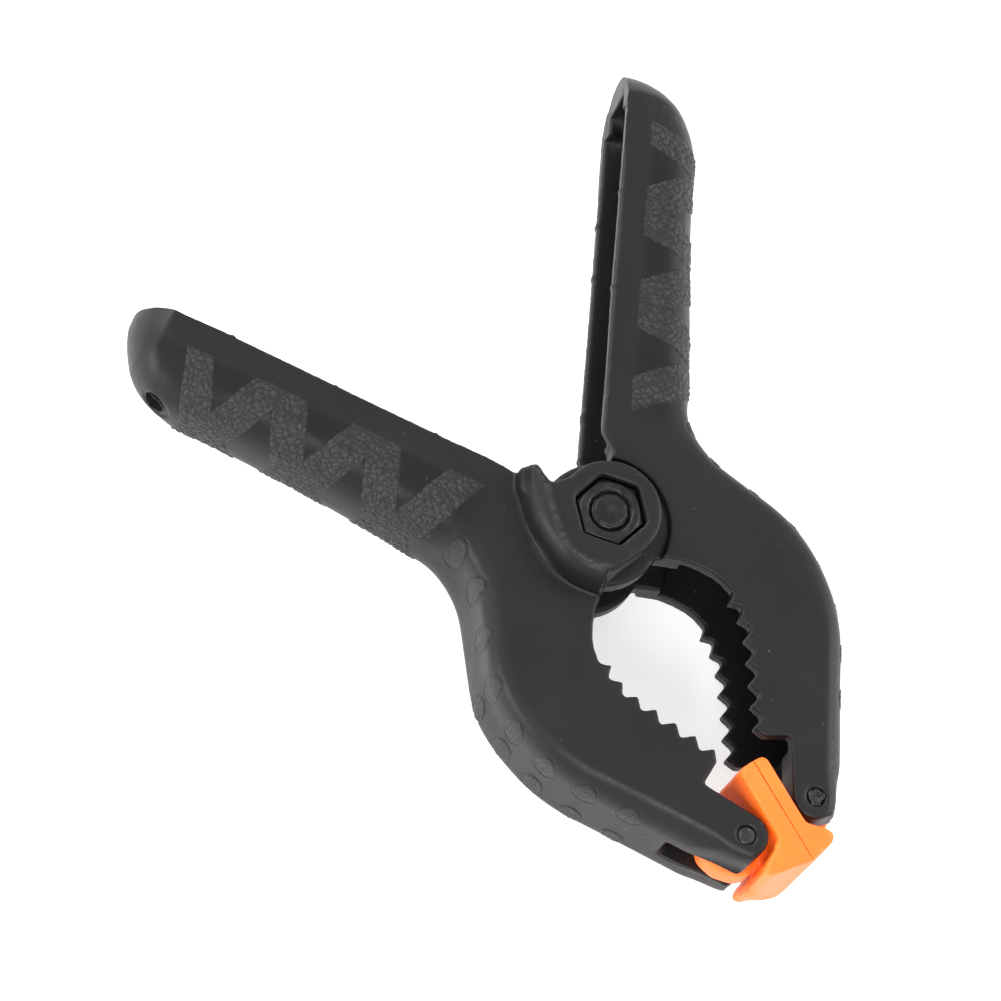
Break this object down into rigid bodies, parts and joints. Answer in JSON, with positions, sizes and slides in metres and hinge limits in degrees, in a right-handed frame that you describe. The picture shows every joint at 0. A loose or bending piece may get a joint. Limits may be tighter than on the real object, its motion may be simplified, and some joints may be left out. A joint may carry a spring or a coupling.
{
  "type": "spring clamp",
  "caption": "Plastic spring clamp: two channel-section arms on a bolted pivot with a torsion spring, toothed throat and swivelling orange pads that grip work between the jaw tips.",
  "frame": {"origin": "on the pivot axis, in the plane of the outer arm's rear pivot boss, on which the clamp lies", "axes": "+Z along the pivot axis towards the nut, +X along the bisector of the arms towards the jaw tips, +Y towards the inner arm"},
  "size_m": [0.1052, 0.0854, 0.0267],
  "materials": {
    "nylon": "satin black moulded nylon with fine grain and pebbled grip pattern",
    "orange_pad": "soft satin orange moulding",
    "black_steel": "blackened steel fastener",
    "spring_steel": "oiled dark spring wire",
    "pin_steel": "dark steel pin"
  },
  "bodies": {
    "outer_arm": {"outer_arm": "nylon", "pivot_bolt": "black_steel", "pivot_nut": "black_steel", "torsion_spring": "spring_steel", "outer_pad_pin": "pin_steel"},
    "inner_arm": {"inner_arm": "nylon", "inner_pad_pin": "pin_steel"},
    "outer_pad": {"outer_pad": "orange_pad"},
    "inner_pad": {"inner_pad": "orange_pad"}
  },
  "joints": [
    {"name": "jaw_hinge", "type": "hinge", "parent": "outer_arm", "child": "inner_arm", "pos_m": [0, 0, 0.01335], "axis": [0, 0, 1], "range_deg": [0, 58], "stiffness_Nm_per_rad": 1.5, "springref_deg": -34.38, "deforming": ["torsion_spring"]},
    {"name": "inner_pad_swivel", "type": "hinge", "parent": "inner_arm", "child": "inner_pad", "pos_m": [0.04475, 0.00544, 0.01335], "axis": [0, 0, 1], "range_deg": [-29, 0]},
    {"name": "outer_pad_swivel", "type": "hinge", "parent": "outer_arm", "child": "outer_pad", "pos_m": [0.04475, -0.00544, 0.01335], "axis": [0, 0, 1], "range_deg": [0, 29]}
  ],
  "couplings": [
    {"joint": "inner_pad_swivel", "follows": "jaw_hinge", "ratio": -0.5},
    {"joint": "outer_pad_swivel", "follows": "jaw_hinge", "ratio": 0.5}
  ]
}
